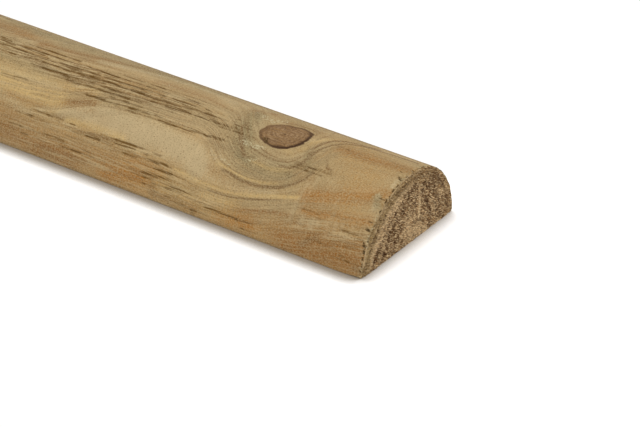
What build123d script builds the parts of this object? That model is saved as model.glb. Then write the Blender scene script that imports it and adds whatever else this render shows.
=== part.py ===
"""A half-round timber post: a machine-rounded softwood pole, sawn in half along its length
and cut square at both ends.

Row frame, in millimetres: +X runs along the post, +Y across the sawn face and +Z up through
the round back. The origin is the middle of the sawn face, on which the post lies.
"""

import os

from build123d import *

# The pole that the post is sawn from
pole_diameter = 100.0  # after the pole is milled round
saw_kerf = 4.0  # wood that the saw takes out along the middle of the pole

# The post
post_length = 1800.0  # a length that such posts are sold in
arris_radius = 1.5  # the two long edges, blunted by handling

# Sizes that follow from these
pole_radius = pole_diameter / 2
sawn_face_height = saw_kerf / 2  # how far the sawn face lies above the pole's middle
post_thickness = pole_radius - sawn_face_height


def post_section():
    """The D-shaped section, with the middle of its flat side at the origin."""
    with BuildSketch(Plane.YZ) as section:
        with Locations((0, -sawn_face_height)):
            Circle(pole_radius)
        Rectangle(
            pole_diameter,
            post_thickness,
            align=(Align.CENTER, Align.MIN),
            mode=Mode.INTERSECT,
        )
        fillet(section.vertices(), radius=arris_radius)
    return section.sketch


def half_round_post():
    """The whole post, one sawn piece with its middle over the origin."""
    with BuildPart() as post:
        extrude(post_section(), amount=post_length / 2, both=True)
    return post.part


os.makedirs("parts", exist_ok=True)
export_step(half_round_post(), "parts/half_round_post.step")
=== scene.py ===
"""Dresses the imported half-round post as a length of pressure-treated pine.

A place on the round back is written as (along, girth) in millimetres: how far it lies from the
near end, and how far round the back it lies from the front edge. The flat sawn face has negative
girths. A place on the near end is written as (across, height), as the row frame's Y and Z.

A soft mark is one row of numbers: half its width, how strongly it shows, from 0 to 1, and then the
places that it runs through, one after another.
"""

from math import asin, cos, pi, radians, sin

import bpy
import numpy as np
from mathutils import Matrix, Vector


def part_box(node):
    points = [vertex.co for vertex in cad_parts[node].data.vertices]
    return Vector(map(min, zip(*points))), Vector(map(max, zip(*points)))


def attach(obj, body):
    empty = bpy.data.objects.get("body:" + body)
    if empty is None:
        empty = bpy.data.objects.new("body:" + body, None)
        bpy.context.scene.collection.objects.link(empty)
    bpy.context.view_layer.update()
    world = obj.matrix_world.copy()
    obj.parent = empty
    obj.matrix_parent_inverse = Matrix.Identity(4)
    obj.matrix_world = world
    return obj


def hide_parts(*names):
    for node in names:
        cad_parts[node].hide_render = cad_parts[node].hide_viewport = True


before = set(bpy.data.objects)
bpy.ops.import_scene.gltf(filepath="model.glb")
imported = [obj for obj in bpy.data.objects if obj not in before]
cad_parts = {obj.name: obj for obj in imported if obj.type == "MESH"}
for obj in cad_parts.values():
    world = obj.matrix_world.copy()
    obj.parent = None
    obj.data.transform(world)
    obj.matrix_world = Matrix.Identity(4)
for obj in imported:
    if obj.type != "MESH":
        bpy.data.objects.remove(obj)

bl_info = {
    "name": "Half-round timber post",
    "version": (1, 0, 0),
    "blender": (4, 5, 0),
    "location": "View3D > Sidebar > Timber post",
    "description": "Makes a weathered half-round post of treated pine and its studio",
    "category": "Add Mesh",
}

MM = 0.001
CAD_NODE = "half_round_post"
CAD_BODY = "root"
CAD_LOW, CAD_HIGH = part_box(CAD_NODE)
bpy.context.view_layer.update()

# The section, as the saw left it, and how finely its arc and its rounded edges are drawn
SAW_KERF = 4 * MM
ARC_POINTS = 181
EDGE_POINTS = 4
POLE_RADIUS = CAD_HIGH.z + SAW_KERF / 2
POST_LENGTH = CAD_HIGH.x - CAD_LOW.x
SECTION_MIDDLE = 20 * MM
EDGE_ANGLE = asin(SAW_KERF / 2 / POLE_RADIUS)
EDGE_LOSS = POLE_RADIUS - CAD_HIGH.y
FLAT_SKIN = 0.3 * MM
BACK_SKIN = 1.5

# Where the lines of the mesh lie round the section: close together on the side that shows
GIRTH_LINES = 250
GIRTH_SHARES = ((0.756, 0.456), (0.81, 0.60))

# The line that the section is swept along
NEAR_END_RINGS = 40
FAR_END_RINGS = 12
RIM_LENGTH = 8 * MM
RIM_STEP = 0.5 * MM
RIM_FADE = 1.3
FINE_STEPS = ((40, 1.6), (125, 1.05), (292, 1.6))
COARSE_STEPS = 64
COARSE_GROWTH = 1.7
RING_NUDGE = 1e-6
END_TOLERANCE = 2.5 * RING_NUDGE
POLE_TOLERANCE = 4e-7

# The tree that the post was cut from: its pith runs a little off the middle, and its rings wander
PITH = Vector((0, 10 * MM, 7 * MM))
RING_WIDTH = 4.2 * MM
RING_WANDER = 12 * MM
RING_BEND = 0.5
RING_UNEVENNESS = 1.4
RING_UNEVEN_SCALE = 0.6

# Rows of torn grain, and what a dash needs: the middle of a row, dark noise and torn wood
TORN_ROW_PITCH = 2.7 * MM
TORN_ROW_CELL = 9 * MM
TORN_ROW_STEP = 3.7
TORN_BY_ROW = 0.5
TORN_BY_WOOD = 0.35
TORN_ROW_DEPTH = 0.6

# How the saw combed the ends, and how sharp an edge has to be to show as one
SAW_SLANT = radians(27)
SHARP_ANGLE = radians(50)

# The camera that the photograph was taken with
SENSOR_WIDTH = 36
LENS = 145.64
CAMERA_AZIMUTH = radians(33.21)
CAMERA_ELEVATION = radians(30.31)
CAMERA_ROLL = radians(2.01)
CAMERA_FROM_NEAR_END = Vector((669.074, -1117.163, 779.615)) * MM

# The studio. The camera sees the floor brighter than it lights, so that it is white: more so close to
# the post than away from it, as painted light that washes out the post's wide shadow, and there it is
# darkened by a painted contact shadow as far as the post hides it.
FLOOR_SIZE = 400
FLOOR_WHITE = (0.93, 0.93, 0.93, 1)
SEEN_WHITE_AND_PAINTED_LIGHT = (1.43, 1.02)
SEEN_FADE = (65 * MM, 90 * MM)
# The painted contact shadow: how far its test for the post reaches, which way it leans, its colour, its
# samples and the openness at and below which it is full
CONTACT_REACH = 14 * MM
CONTACT_LEAN = (0.1, 0.45, 0.88)
PAINTED_CONTACT_SHADOW_TINT = (0.38, 0.34, 0.285, 1)
CONTACT_SAMPLES = 16
CONTACT_OPEN = 0.5
WORLD_STRENGTH = 0.62
LAMPS = (
    # name, azimuth, elevation, strength, softness
    ("key_light", 80, 58, 1.35, 70),
    ("side_light", -60, 40, 0.2, 90),
)

# Kinds of node that the trees below use most, and those that come with a setting of their own
MATH = "ShaderNodeMath"
VECTOR_MATH = "ShaderNodeVectorMath"
MAP_RANGE = "ShaderNodeMapRange"
NOISE = "ShaderNodeTexNoise"
MIX = "ShaderNodeMix"
ATTRIBUTE = "ShaderNodeAttribute"
NAMED_ATTRIBUTE = "GeometryNodeInputNamedAttribute"
SEPARATE = "ShaderNodeSeparateXYZ"
COMBINE = "ShaderNodeCombineXYZ"
TURN = "ShaderNodeVectorRotate"
SET_POSITION = "GeometryNodeSetPosition"
SMOOTH_RANGE = (MAP_RANGE, {"interpolation_type": "SMOOTHSTEP"})
ADD, SUBTRACT, MULTIPLY, DIVIDE, MULTIPLY_ADD, MINIMUM, MAXIMUM, ABSOLUTE, PINGPONG = (
    (MATH, {"operation": name})
    for name in (
        "ADD", "SUBTRACT", "MULTIPLY", "DIVIDE", "MULTIPLY_ADD", "MINIMUM", "MAXIMUM", "ABSOLUTE", "PINGPONG"
    )
)
VECTOR_ADD, VECTOR_SUBTRACT, VECTOR_MULTIPLY, VECTOR_SCALE, VECTOR_LENGTH = (
    (VECTOR_MATH, {"operation": name}) for name in ("ADD", "SUBTRACT", "MULTIPLY", "SCALE", "LENGTH")
)

# How the grain runs near the end: lines along it, from the near end on, bent by the near knot
GRAIN_LINES = (
    ((0, 19), (20, 16), (50, 8), (80, 3), (120, 1), (300, 2)),
    ((0, 36), (32, 30.3), (48, 27), (67, 18.8), (90, 13), (120, 12), (160, 14), (220, 15), (300, 13)),
    ((0, 52.5), (32, 43), (55, 33), (79, 25.7), (102, 21.6), (119, 22.2), (150, 26.5), (300, 26)),
    (
        (0, 71.5), (44, 70.5), (50, 63), (53, 45.4), (58, 39.6), (67, 35), (79, 31.5), (90, 30.6),
        (102, 32), (118, 40.7), (125, 46.5), (135, 49.5), (162, 49), (185, 47.5), (210, 43), (235, 32),
        (260, 29), (300, 27.5),
    ),
    (
        (0, 90.5), (36, 89), (50, 81), (58.5, 66), (61.5, 55), (67, 48.3), (76, 46.6), (88, 49), (98, 51),
        (108, 56), (115, 64), (125, 71), (150, 74.5), (200, 72.5), (250, 69), (300, 66),
    ),
    (
        (0, 93), (32, 91.7), (50, 86), (61, 65), (70, 51.7), (79, 50.5), (98, 54.5), (110, 70), (119, 87),
        (130, 90.5), (148, 94.5), (178, 92), (219, 83), (254, 76), (300, 70.5),
    ),
    ((0, 112), (240, 104), (270, 96), (282, 88), (300, 78)),
)
GRID_LENGTH = 340
GRID_GIRTH = 160
GRAIN_BLUR = 2.5

# The near knot: the middle and the outline of the branch where the back cuts it, then its rings, its bark
# and its pith. A place with no knot beside it is NO_KNOT times a knot's size away
KNOT_MIDDLE = (85.5, 71)
KNOT_OUTLINE = (
    (100.5, 67), (97, 61.5), (90, 58.8), (82, 58.7), (75, 62), (70.6, 68), (70, 75), (71.5, 81), (76, 83),
    (85, 82.8), (92, 80), (98, 75),
)
# The side of the near knot where its bark line is darkest, as a turn: on its lower side towards the near
# end, partly the bark itself and partly painted shade in the crack round the knot
KNOT_DARK_SIDE = radians(215)
KNOT_RADIUS = 13.5
KNOT_RINGS = 12
KNOT_RAGGEDNESS = 1.4
BARK_WIDTH = 0.85
BARK_PLACE = 0.98
PITH_DOT = 0.9
NO_KNOT = 9.0

# Knots further along, nine on the back and two on the flat face
FAR_KNOT_DARK = 0.35
FAR_KNOTS = (
    # along, girth, half length, half width, slant in degrees
    (452, 30, 12, 9, 10), (476, 118, 10, 9, -15), (735, 92, 14, 10, 5), (748, 20, 8, 6, 0),
    (1010, 52, 15, 12, -8), (1036, 134, 11, 9, 0), (1295, 104, 13, 10, 12), (1318, 36, 9, 7, 0),
    (1575, 70, 14, 11, -5), (620, -58, 12, 8, 0), (1180, -34, 14, 8, 10),
)

# Marks on the round back
BROWN_WOOD = (
    (5, 0.75, 272, 74.5, 250, 78, 235, 80.5, 220, 84.5, 205, 90, 190, 95, 165, 99),
    (6, 0.8, 330, 78, 292, 80), (3.5, 0.45, 185, 79, 165, 80.5, 148, 80, 135, 77),
    (3.4, 0.85, 272, 32.5, 250, 33, 240, 35.5, 225, 40, 210, 44), (8, 0.5, 290, 24, 262, 19),
    (11, 0.85, 310, 8, 268, 10, 240, 8, 215, 6), (9, 0.5, 215, 12, 185, 13), (6, 0.5, 150, 8, 120, 6),
    (7, 0.35, 230, 63, 200, 64, 160, 65), (5, 0.4, 118, 12, 60, 10), (13, 1, 52, 5, 28, 9, 0, 12),
    (1.6, 0.65, 96, 12, 86, 15, 76, 18, 66, 20.5, 54, 22), (2.2, 0.6, 94, 84, 84, 87, 76, 88.5, 70, 86.5),
    (3, 0.6, 118, 84, 110, 88, 104, 92), (3.5, 0.5, 49, 77, 35, 76.5, 20, 77.5, 3, 78.5),
    (2, 0.5, 49, 28, 38, 28.3, 24, 31, 6, 34), (5, 0.22, 48, 36, 30, 42, 1, 53),
    (4.5, 0.9, 46, 8, 40, 11, 33, 14), (3, 0.5, 20, 19, 4, 20), (4, 0.4, 60, 46, 52, 47),
)
RING_LINES = (
    (1.1, 0.35, 129, 47, 121, 42, 117, 38, 107, 33.8),
    (1.2, 0.95, 107, 33.8, 92, 31.4, 80, 32, 68, 35, 60, 40, 54, 45.5, 52, 51),
    (0.7, 0.55, 118, 44, 112, 38.5, 100, 35.6, 88, 34.6, 76, 36, 66, 40),
    (0.8, 0.75, 92, 55, 86, 52.8, 80, 51.8, 74, 52.5, 69, 55, 66, 59),
    (0.8, 0.8, 98, 53, 88, 50.8, 78, 50, 70, 52, 65.5, 57, 63, 63),
    (0.7, 0.5, 84, 56.2, 77, 55.6, 71, 58.4, 67, 63), (0.7, 0.45, 96, 50, 86, 47.5, 76, 46.6, 68, 48),
    (1, 0.95, 74, 47.5, 66, 49, 63, 52.4, 60.8, 58, 62.3, 68, 60.6, 75, 57, 82, 52, 86.6, 44, 90, 32, 93),
    (1.1, 1, 62, 54, 60, 62.8, 58.3, 69.8, 55.4, 76.7, 49.6, 83.7, 40.4, 88.9, 20.7, 91.8, 6, 93),
    (0.6, 0.5, 57, 52, 55.5, 62, 54.5, 70, 51, 78, 45, 84), (0.8, 0.45, 54, 57, 51.5, 70),
    (1.2, 0.6, 49, 62, 46, 57, 43, 56.5), (1, 0.6, 112, 19.6, 96, 20.2, 84, 22.6, 72, 26, 62, 29),
    (1, 0.7, 94, 83, 84, 85.6, 76, 86.4, 71, 84.4, 69.4, 80), (1, 0.6, 66, 96, 63.5, 88, 65, 82, 66, 76),
    (0.8, 0.5, 72, 94, 69, 89, 70, 86), (1.6, 0.75, 112, 66, 109, 58, 104, 52, 98.5, 46.6),
    (1, 0.5, 118, 80, 112, 72, 106, 63, 102, 58), (0.7, 0.5, 104, 68, 101, 60, 95, 57.4, 88, 56.8),
    (0.8, 0.5, 300, 41, 262, 42.5, 240, 45.4, 222, 47), (0.7, 0.45, 255, 37, 235, 39.6, 212, 44.2),
    (0.6, 0.4, 50, 33.4, 36, 34, 18, 37.4, 4, 41), (0.6, 0.4, 50, 43, 36, 47.6, 16, 53.6, 4, 58.6),
)
WARM_WOOD = (
    (15, 0.8, 310, 14, 230, 13, 150, 11, 70, 7, 0, 6), (16, 0.7, 44, 84, 22, 66, 20, 40, 26, 14),
    (5, 0.5, 48, 84, 30, 77, 2, 78), (4, 0.3, 300, 66, 200, 66, 130, 68),
)
ORANGE_WOOD = (
    (8, 1, 184, 7, 162, 12), (5, 0.6, 170, 19, 148, 19), (5.5, 0.8, 101, 6, 90, 8, 80, 8),
    (5, 1, 48, 36, 38, 39, 30, 42, 20, 46, 10, 50, 1, 53), (3.5, 0.8, 46, 27.5, 28, 30, 18, 32, 4, 34.5),
    (10, 0.4, 52, 7, 28, 10, 0, 13), (4.5, 0.6, 46, 75, 30, 76, 3, 79), (3, 0.35, 280, 66, 262, 66.5),
    (4, 0.35, 236, 49, 215, 51), (6, 0.35, 62, 7, 52, 10), (5, 0.4, 300, 82, 285, 80),
)
PALE_WOOD = (
    (2.2, 0.95, 7, 51, 5, 43), (1.6, 0.8, 3, 66, 3, 60), (6, 0.4, 310, 93, 200, 94, 70, 93),
    (9.5, 1, 200, 38, 180, 39, 150, 38, 130, 36, 124, 30), (4.5, 0.9, 228, 32.5, 212, 35, 196, 38),
    (4, 0.7, 190, 32, 160, 31), (7.5, 0.95, 290, 42, 262, 42, 240, 42),
    (3.4, 0.8, 230, 78.5, 212, 82, 200, 85, 185, 88.5, 165, 91, 145, 89, 132, 85),
    (1.8, 0.7, 245, 29.5, 225, 35.5, 212, 40.5, 204, 44), (0.7, 1, 121, 43.5, 118.6, 41),
    (0.7, 1, 118.5, 39.4, 116, 40.4), (0.7, 0.9, 116, 37.6, 113.6, 39.6, 112.4, 41.6),
    (0.7, 0.9, 113, 36.4, 110.6, 38.4, 109.6, 40), (0.6, 0.8, 110, 35.4, 107, 37.2),
    (0.6, 0.8, 106, 34.8, 102, 35.6, 96, 34.4), (0.6, 0.7, 98, 33.6, 88, 33, 80, 33.6),
    (1.2, 0.35, 50.5, 56, 50, 70), (6, 0.25, 44, 64, 12, 66), (5, 0.35, 46, 92, 10, 90),
    (6, 0.6, 135, 12, 102, 16), (5, 0.5, 284, 32, 262, 28), (4, 0.5, 116, 26, 90, 27.5, 70, 32),
    (4, 0.35, 40, 50, 14, 42), (0.8, 0.7, 290, 65.6, 268, 65.4, 255, 66.3),
    (0.8, 0.8, 280, 57.6, 262, 57.8, 250, 58.6), (0.8, 0.6, 212, 59.8, 200, 60.4, 188, 61),
    (0.8, 0.6, 262, 62.3, 250, 62.4), (0.8, 0.5, 170, 62, 150, 63), (7, 0.5, 110, 97, 92, 94),
    (3, 0.5, 262, 26, 250, 26),
)
YELLOW_WOOD = (
    (1.2, 1, 138, 24.5, 120, 22.3, 105, 21.9, 92, 23, 80, 25.8, 68, 29.3, 60, 31.8, 53, 33.5),
    (1.4, 0.8, 112, 36.5, 104, 35.4, 92, 33.4, 80, 34, 70, 36.6),
    (1.6, 0.6, 92, 44.6, 80, 43.4, 70, 46, 66, 48.6), (2.2, 0.5, 68, 62, 66, 72, 62, 80),
    (5, 0.6, 285, 47, 262, 47, 245, 48, 228, 49.5), (7.5, 1, 290, 41, 262, 39, 236, 40),
    (8, 0.55, 142, 12, 98, 15), (2.5, 0.6, 245, 50, 232, 51, 212, 53.4), (2.5, 0.5, 80, 61, 72, 58),
    (2.5, 0.8, 222, 29.5, 200, 30.8, 180, 30.4), (1.4, 0.5, 112, 37, 104, 36, 97, 34),
)
# Grey-green tint of the preservative, round the knot and along the top. The strokes along the top, at girths
# 84 to 103, are partly that tint and partly painted shade where the back turns away from the light
GREEN_WOOD_AND_SHADE = (
    (7, 0.85, 112, 80, 109, 64, 103, 50, 93, 43), (5.5, 0.6, 93, 43, 80, 42, 66, 45),
    (8, 0.75, 320, 95, 285, 90, 245, 92, 200, 94, 150, 97), (7, 0.5, 262, 84, 240, 88),
    (4, 0.5, 300, 55, 275, 54, 252, 54), (10, 0.5, 150, 103, 95, 102, 50, 103), (3, 0.5, 64, 64, 58, 56),
    (3, 0.7, 7, 50, 4, 45), (4, 0.35, 96, 88, 74, 90),
)
# Grey brown smudges, and painted shade: the long strokes at girths 100.5 and 114 darken the top of the back
# and its far side, where they turn away from the light, and the thin one at girth 0.5 darkens the bottom
# edge where it meets the floor
GREY_WOOD_AND_SHADE = (
    (1.6, 0.6, 276, 60.3, 262, 60.5), (2.2, 0.75, 262, 56.5, 238, 56), (2.4, 0.7, 247, 63.5, 235, 63.5),
    (1.5, 0.8, 236, 54, 228, 54), (2.2, 0.6, 235, 58, 220, 57.5), (2.6, 0.7, 184, 58, 168, 57),
    (2, 0.55, 169, 63.5, 160, 63), (1.6, 0.7, 166, 59, 158, 59), (1.8, 0.6, 294, 71, 288, 69),
    (1.4, 0.5, 290, 76, 284, 74.5), (2.4, 0.5, 128, 75, 116, 72),
    (1.3, 0.85, 111, 62, 108, 59, 105, 55.5, 103.5, 52), (1, 0.75, 103, 51, 100, 47.5, 97, 46.5),
    (3, 0.5, 124, 47, 116, 46, 108, 48), (3.5, 0.55, 150, 5, 138, 3), (3.5, 0.4, 138, 14, 120, 17),
    # The last stroke of this row is painted shade along the bottom edge
    (2.5, 0.6, 43, 8, 38, 12, 34, 15), (1.1, 0.7, 270, 0.5, 150, 0.8, 40, 0.5),
    # The first two strokes of this row are painted shade along the top and the far side of the back
    (3, 0.8, 320, 100.5, 0, 100.5), (9, 0.7, 320, 114, 0, 114), (2, 0.5, 5, 6, 1, 4),
    (1.6, 0.4, 67, 68, 63, 67, 61, 70),
)
PALE_FLECKS = (
    (2, 1, 105, 55, 97, 54, 90, 55.4), (1.8, 0.75, 95, 44.2, 90, 46.4), (1.6, 0.7, 111, 40, 104, 37.4),
    (3.2, 0.8, 108, 82, 100, 79, 94, 85), (1.1, 0.3, 8, 50, 5, 48, 3.5, 44.5),
    (0.7, 0.4, 17, 28, 9, 28.8, 3.5, 31), (0.6, 0.35, 15, 25.7, 8, 26), (0.8, 0.45, 5, 12.4, 3, 11.6),
    (0.5, 0.3, 237, 3.4, 236, 3.2), (0.5, 0.3, 213, 3.4, 212, 3.2),
)
CUTTER_MARKS = (
    (1.1, 0.6, 54, 19, 52.6, 30, 51, 44), (0.9, 0.45, 49, 26, 47.6, 40, 46.6, 52),
    (1.6, 0.8, 46.5, 19.5, 45.6, 24.5), (1.8, 0.85, 39.5, 20, 38.2, 24.5), (1, 0.7, 35, 22, 34.6, 25),
    (0.9, 0.8, 28, 19, 28.2, 26, 27.6, 32), (0.8, 0.6, 29, 36, 28.2, 42), (0.8, 0.5, 37.5, 34, 37, 38),
    (1.3, 0.8, 24, 22.5, 23.6, 27), (1, 0.7, 19.6, 23, 19.4, 28.5), (1, 0.5, 13, 26, 13, 29),
    (1.2, 0.35, 188, 31, 187, 38), (1, 0.3, 180, 30, 179.6, 36),
)

# Where the grain tore, and its longest dashes: each runs from one place along to another at a girth
TORN_AREAS = (
    (8, 1, 310, 66, 270, 64, 200, 63, 150, 65), (5, 0.7, 150, 66, 108, 66), (4, 0.6, 225, 51, 108, 51),
    (5, 0.5, 245, 27, 150, 26), (9, 0.35, 250, 12, 110, 12), (7, 0.45, 48, 22, 2, 22),
)
TORN_SLOPE = 0.018
TORN_HALF_WIDTH = 0.95
TORN_TAIL = 10
TORN_TAIL_STRENGTH = 0.6
TORN_DASHES = (
    # from, to, girth in the middle, strength
    (274, 251, 71.1, 0.95), (246, 240, 71.4, 0.7), (237, 228, 72, 0.35), (222, 212, 72, 0.45),
    (207, 190, 72.9, 0.6), (187, 176, 73.6, 0.7), (174, 150, 74.6, 0.45), (149, 143, 75, 0.55),
    (142, 128, 75.8, 0.45), (124, 113, 76, 0.25), (226, 222, 69.4, 0.6), (221, 208, 69.2, 0.9),
    (204, 200, 69.7, 0.95), (188, 181, 70.5, 0.75), (180, 160, 71, 0.4), (158, 148, 71.8, 0.6),
    (147, 134, 72.6, 0.4), (125, 108, 69.3, 0.4), (300, 292, 67.4, 0.8), (291, 280, 67.2, 0.55),
    (280, 262, 67.2, 0.9), (259, 238, 68, 0.4), (234, 221, 65.5, 0.7), (216, 208, 65.7, 0.95),
    (207, 197, 65.8, 0.75), (199, 187, 66.3, 0.8), (184, 179, 66.8, 0.5), (177, 171, 67.1, 0.75),
    (166, 161, 67.6, 0.5), (157, 149, 68, 0.6), (142, 138, 68.6, 0.7), (295, 276, 63.2, 0.75),
    (275, 259, 63.8, 0.6), (250, 234, 64.3, 0.7), (224, 217, 61.8, 1.0), (216, 208, 62.2, 0.85),
    (207, 197, 62.4, 0.95), (194, 184, 63, 1.0), (181, 174, 63.1, 0.95), (171, 160, 64, 0.55),
    (155, 149, 64.3, 0.75), (148, 140, 64.9, 0.5), (140, 135, 65.4, 0.8), (129, 120, 65.2, 0.45),
    (293, 281, 60.1, 0.6), (276, 262, 60.5, 0.45), (261, 236, 60.6, 0.85), (234, 229, 60.8, 0.9),
    (224, 212, 59.8, 0.45), (211, 199, 58.4, 0.9), (198, 186, 58.8, 0.6), (177, 172, 59.8, 0.7),
    (165, 160, 60.3, 1.0), (158, 147, 61.3, 0.75), (145, 139, 61, 0.75), (133, 129, 62, 0.6),
    (130, 126.5, 61, 1.0), (123.5, 121, 61.3, 0.9), (118, 114, 62.4, 0.7), (287, 281, 58.3, 0.8),
    (258, 249, 56.1, 0.95), (250, 240, 56.8, 1.0), (242, 236, 55.6, 0.9), (236, 226, 57.6, 0.5),
    (237, 228, 53.8, 0.9), (222, 213, 54.6, 0.65), (213, 201, 55.1, 1.0), (200, 190, 55.6, 0.9),
    (189, 183, 56, 0.5), (193, 189, 52.9, 1.0), (188, 178, 53.3, 0.45), (125, 117, 59.2, 0.6),
    (115, 108, 59.6, 0.8), (218, 214, 48.5, 0.75), (213, 204, 49, 0.9), (212, 205, 50.7, 0.4),
    (186, 181, 50.3, 1.0), (187, 181, 48.1, 0.7), (171, 160, 51.2, 0.3), (164, 150, 48.8, 0.8),
    (150, 136, 49.4, 0.6), (136, 130, 51, 0.45), (130, 127, 50.2, 1.0), (126, 117, 51, 0.7),
    (116, 108, 51.3, 0.4), (282, 271, 43.2, 0.5), (272, 262, 44.2, 0.6), (230, 222, 46.4, 0.35),
    (238, 233, 28.3, 0.95), (260, 248, 27.8, 0.3), (229, 221, 28, 0.45), (220, 216, 28.3, 0.85),
    (213, 207, 28.3, 0.5), (196, 186, 28.4, 0.55), (185, 170, 28.6, 0.8), (162, 150, 27.4, 0.4),
    (156, 150, 28.6, 0.7), (142, 139, 28.1, 0.3), (205, 190, 26.3, 0.45), (185, 169, 26.5, 0.7),
    (165, 150, 26.6, 0.35), (251, 248, 24.1, 0.85), (240, 225, 24.1, 0.45), (216, 206, 24.1, 0.5),
    (205, 195, 24.4, 0.8), (174, 171, 24.5, 0.5), (162.5, 161, 24.6, 0.7), (158, 151, 23.8, 0.9),
    (150, 144, 24.5, 0.75), (235, 225, 20.1, 0.35), (220, 205, 20.2, 0.45), (204, 192, 20.5, 0.4),
    (176, 167, 22.6, 0.7), (153, 140, 20.2, 0.75), (141, 139, 20.3, 0.9), (236, 221, 16.4, 0.65),
    (221, 217, 14.8, 0.6), (255, 253.5, 15.7, 0.8), (206, 200, 15.3, 0.5), (160, 148, 15.8, 0.9),
    (148, 140, 16.8, 0.7), (213, 206, 12.9, 0.8), (254, 248, 12.1, 0.6), (252, 249, 10.7, 0.5),
    (159, 152, 13.2, 0.7), (158, 157, 13, 0.8), (142, 138, 11.4, 0.8), (138, 123, 13.1, 0.7),
    (118, 110, 13, 0.35), (213.5, 212, 7.7, 0.6), (240, 225, 8.2, 0.4), (158.5, 157, 8.7, 0.9),
    (175, 165, 9.4, 0.3), (112, 91, 8.8, 0.75), (90, 88, 8.6, 1.0), (168, 160, 4.6, 0.6),
    (145, 142, 4.1, 0.6), (142, 138, 6.4, 0.6), (133, 126, 4.9, 0.6), (122, 118, 3.8, 0.75),
    (121, 119, 1.8, 0.5), (85, 83.5, 4, 0.7), (66, 58, 52.3, 0.5), (57, 51, 53.4, 0.8),
    (51, 46, 54.6, 0.5), (46, 38, 55, 0.35), (58, 56, 50.7, 0.9), (45.6, 44.6, 77.6, 0.7),
    (31, 29.5, 13.1, 0.7), (12, 10, 8.1, 0.8), (20, 19, 4.5, 0.5), (64, 62.5, 11.1, 0.55),
    (48, 36, 28.6, 0.55), (42, 35, 26.3, 0.45), (30, 18, 30.8, 0.45), (20, 8, 24.8, 0.6),
    (14, 4, 23.3, 0.5), (47, 40, 18.8, 0.5), (22, 5, 15.8, 0.45), (40, 33, 15.1, 0.35),
    (16, 13, 10.2, 0.6), (40, 36, 12.8, 0.5), (15, 4, 17.4, 0.4), (33, 24, 22.2, 0.3),
    (66, 63.5, 54.4, 0.5),
)

# Chips and pits, most of them along the near end. They are cut in and painted dark: partly the brown of
# the torn wood, partly painted shade in the hollows
PITS = (
    (1, 1, 4, 69.3, 1.6, 67.5), (0.9, 0.5, 6.6, 75, 5.6, 74.4), (0.8, 0.8, 1.4, 80.2, 0.6, 79.6),
    (0.9, 0.7, 1.8, 94, 0.8, 91), (0.8, 0.9, 1, 59.4, 0.8, 57), (0.6, 0.6, 6, 50.4, 1.4, 50),
    (0.8, 0.8, 1.4, 50.5, 0.8, 48.5), (0.7, 0.8, 1, 43, 0.6, 41.4), (0.8, 1, 4.6, 30.2, 2, 29.6),
    (0.8, 0.5, 5, 34.6, 2.4, 34.8), (0.9, 1, 3.2, 21.8, 1.8, 19.6), (0.8, 1, 1.8, 18, 1.4, 16.6),
    (0.7, 0.9, 1.6, 13.4, 1.2, 12), (0.6, 0.7, 1.2, 25.4, 0.8, 23.6), (0.7, 0.7, 1, 9.6, 0.6, 8),
    (0.8, 0.6, 2, 5.6, 1.2, 4.6), (0.7, 0.7, 0.8, 63, 0.6, 61.6), (0.6, 0.7, 0.8, 73, 0.6, 71.4),
    (0.6, 0.7, 0.8, 54, 0.6, 53), (0.7, 0.7, 0.8, 86, 0.6, 84.8), (0.6, 0.6, 0.8, 38.4, 0.6, 37.4),
    (1.4, 1, 93, 62.4, 92, 60.8), (0.8, 0.7, 95, 62.6, 94, 62.6), (0.6, 0.6, 95.4, 61.8, 94.4, 61.6),
)

# How the surface is laid out on the map that its colours are baked to, in shares of the map: the part
# that the photograph shows gets the most room
MAP_NAME = "OFBake"
MAP_SPLIT = 292 * MM
MAP_AREAS = {
    # low corner, high corner
    "near_back": ((0.01, 0.52), (0.99, 0.99)),
    "far_back": ((0.01, 0.12), (0.99, 0.28)),
    "flat": ((0.01, 0.01), (0.99, 0.11)),
    "near_end": ((0.01, 0.30), (0.41, 0.50)),
    "far_end": ((0.45, 0.30), (0.85, 0.50)),
}

# A part of the surface whose normal leans this far down is the flat sawn face
FACES_DOWN = -0.9

# The worn front corner of the near end: how far its wear reaches and how it moves the wood
WORN_LENGTH = 10
WORN_GIRTH = 4.5
WORN_SHIFT = (-0.6, 0.8, 0.5)

# Marks on the near end
END_PALE = (
    (1.3, 1, 11, 12.5, 11.2, 26), (1, 0.7, 11, 26, 10, 35), (0.8, 0.65, 6.5, 12.5, 6.5, 22),
    (6, 0.6, 1, 7, 10, 5), (4, 0.5, -1, 12, 3, 3), (1.6, 0.6, -24.5, 20, -24.2, 27),
    (1.1, 0.9, -35.6, 25.8, -35.2, 25.3), (1, 0.8, -28.4, 21.2, -27.7, 20),
    (2.4, 0.55, -18, 30.5, -11, 34.5), (3, 0.5, -29, 18, -36, 12), (1.3, 0.8, 16.2, 4.6, 18.6, 3.6),
    (1, 0.7, 22.6, 19.4, 25, 18), (1, 0.7, 28, 16, 30, 14.6), (0.9, 0.6, 25, 13.2, 28, 12),
    (1.1, 0.5, 15, 23.6, 16.4, 22.8), (1.3, 0.8, -47.5, 8, -46.6, 15, -44.6, 21),
    (1.1, 0.6, -24, 41.4, -18, 44.4, -10, 46.6, 0, 47.6), (1, 0.4, -20, 11, -16.5, 9.6),
    (1, 0.6, -7.4, 19.6, -4, 18), (1, 0.6, -1, 20.8, 2.6, 19.2), (1.4, 0.5, 32, 22, 36, 20.6),
    (1.2, 0.5, 34.6, 3, 35.2, -0.5), (1.6, 0.5, 14, 0.8, 22, 0.6), (2.2, 0.4, -33, 35, -28, 38),
    (1.6, 0.6, -39.5, 4, -37, 13, -31, 23, -21.5, 32, -9, 38, 2, 40),
    (1.2, 0.5, -30, 3, -27.6, 10, -22, 18, -16, 24.4, -9, 29.6), (1.6, 0.5, -12, 3, -8, 9, -2, 14, 5, 16),
)
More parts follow.
